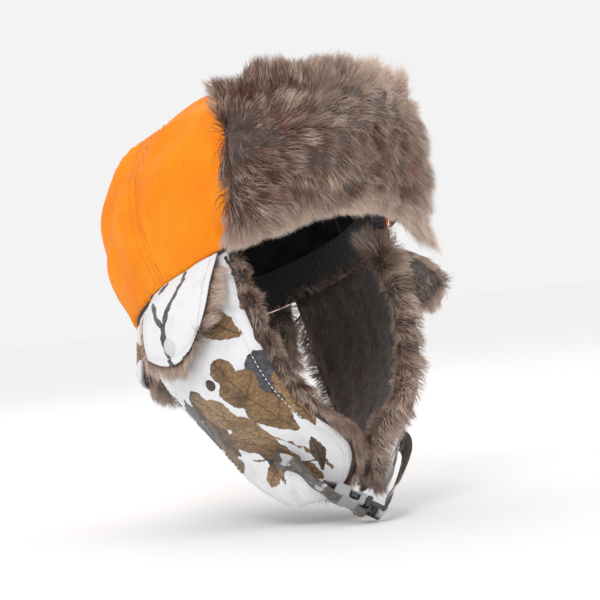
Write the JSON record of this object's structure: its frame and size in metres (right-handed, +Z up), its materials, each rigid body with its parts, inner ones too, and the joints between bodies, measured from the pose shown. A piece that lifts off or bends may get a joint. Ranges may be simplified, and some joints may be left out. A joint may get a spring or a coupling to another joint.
{
  "type": "trapper hat",
  "caption": "Winter trapper hat with a turned-up fur brow flap, fur-lined ear flaps with lift-up ear covers, a neck curtain and a buckled chin strap.",
  "frame": {"origin": "middle of the level head opening, where the head enters the crown", "axes": "+Z up on the wearer's head, the face looks along -Y, the wearer's right is -X"},
  "size_m": [0.2483, 0.2504, 0.3066],
  "materials": {
    "crown_cloth": "plain woven nylon in bright orange",
    "wadding": "polyester wadding",
    "lining": "quilted charcoal taffeta",
    "sweatband": "brushed charcoal knit",
    "fur": "long-pile faux fur, brown roots and pale tips",
    "leaf_print": "off-white brushed cloth with brown and slate leaf print",
    "snap_metal": "dark bronze lacquered snap",
    "port_mesh": "open knit mesh",
    "webbing": "printed flat webbing",
    "buckle_plastic": "satin grey moulded plastic"
  },
  "bodies": {
    "crown": {"crown_shell_front_right": "crown_cloth", "crown_wadding_front_right": "wadding", "crown_lining_front_right": "lining", "crown_shell_back_right": "crown_cloth", "crown_wadding_back_right": "wadding", "crown_lining_back_right": "lining", "crown_shell_back_left": "crown_cloth", "crown_wadding_back_left": "wadding", "crown_lining_back_left": "lining", "crown_shell_front_left": "crown_cloth", "crown_wadding_front_left": "wadding", "crown_lining_front_left": "lining", "sweatband": "sweatband"},
    "brow_flap": {"brow_flap_backing": "leaf_print", "brow_flap_fur": "fur"},
    "neck_flap": {"neck_flap_shell": "leaf_print", "neck_flap_wadding": "wadding", "neck_flap_fur": "fur"},
    "right_ear_flap": {"right_flap_shell": "leaf_print", "right_flap_wadding": "wadding", "right_flap_fur": "fur", "right_snap_stud": "snap_metal", "right_ear_port": "port_mesh"},
    "right_ear_cover": {"right_cover_shell": "leaf_print", "right_cover_fur": "fur", "right_cover_snap_cap": "snap_metal", "right_cover_snap_socket": "snap_metal"},
    "left_ear_flap": {"left_flap_shell": "leaf_print", "left_flap_wadding": "wadding", "left_flap_fur": "fur", "left_snap_stud": "snap_metal", "left_ear_port": "port_mesh", "left_chin_strap": "webbing"},
    "left_ear_cover": {"left_cover_shell": "leaf_print", "left_cover_fur": "fur", "left_cover_snap_cap": "snap_metal", "left_cover_snap_socket": "snap_metal"},
    "chin_strap": {"right_chin_strap": "webbing", "buckle_socket": "buckle_plastic"},
    "buckle_plug": {"buckle_plug": "buckle_plastic", "left_strap_loop": "webbing"},
    "release_arm_front": {"release_arm_front": "buckle_plastic"},
    "release_arm_back": {"release_arm_back": "buckle_plastic"}
  },
  "joints": [
    {"name": "brow_fold", "type": "hinge", "parent": "crown", "child": "brow_flap", "pos_m": [0, -0.10208, 0.04681], "axis": [1, 0, 0], "range_deg": [0, 110]},
    {"name": "right_ear_fold", "type": "hinge", "parent": "crown", "child": "right_ear_flap", "pos_m": [-0.09009, 0, 0], "axis": [0, 0.9455, -0.3256], "range_deg": [0, 85]},
    {"name": "left_ear_fold", "type": "hinge", "parent": "crown", "child": "left_ear_flap", "pos_m": [0.09009, 0, 0], "axis": [0, -0.9455, 0.3256], "range_deg": [0, 85]},
    {"name": "neck_fold", "type": "hinge", "parent": "crown", "child": "neck_flap", "pos_m": [0, 0.10394, -0.03663], "axis": [1, 0, 0], "range_deg": [0, 110]},
    {"name": "right_cover_lift", "type": "hinge", "parent": "right_ear_flap", "child": "right_ear_cover", "pos_m": [-0.09009, 0, 0], "axis": [0, 0.9455, -0.3256], "range_deg": [0, 45]},
    {"name": "left_cover_lift", "type": "hinge", "parent": "left_ear_flap", "child": "left_ear_cover", "pos_m": [0.09009, 0, 0], "axis": [0, -0.9455, 0.3256], "range_deg": [-45, 0]},
    {"name": "chin_strap_swing", "type": "hinge", "parent": "right_ear_flap", "child": "chin_strap", "pos_m": [-0.05583, -0.06829, -0.12379], "axis": [0.3031, 0.8545, -0.4218], "range_deg": [0, 70]},
    {"name": "buckle_release", "type": "slide", "parent": "chin_strap", "child": "buckle_plug", "axis": [0.7, -0.5, -0.51], "range_m": [0, 0.022], "deforming": ["release_arm_front", "release_arm_back"]},
    {"name": "front_button", "type": "hinge", "parent": "buckle_plug", "child": "release_arm_front", "pos_m": [-0.01801, -0.11278, -0.15708], "axis": [-0.6467, -0.1407, -0.7497], "range_deg": [0, 6], "stiffness_Nm_per_rad": 0.04},
    {"name": "back_button", "type": "hinge", "parent": "buckle_plug", "child": "release_arm_back", "pos_m": [-0.01468, -0.10338, -0.16172], "axis": [0.6467, 0.1407, 0.7497], "range_deg": [0, 6], "stiffness_Nm_per_rad": 0.04}
  ]
}
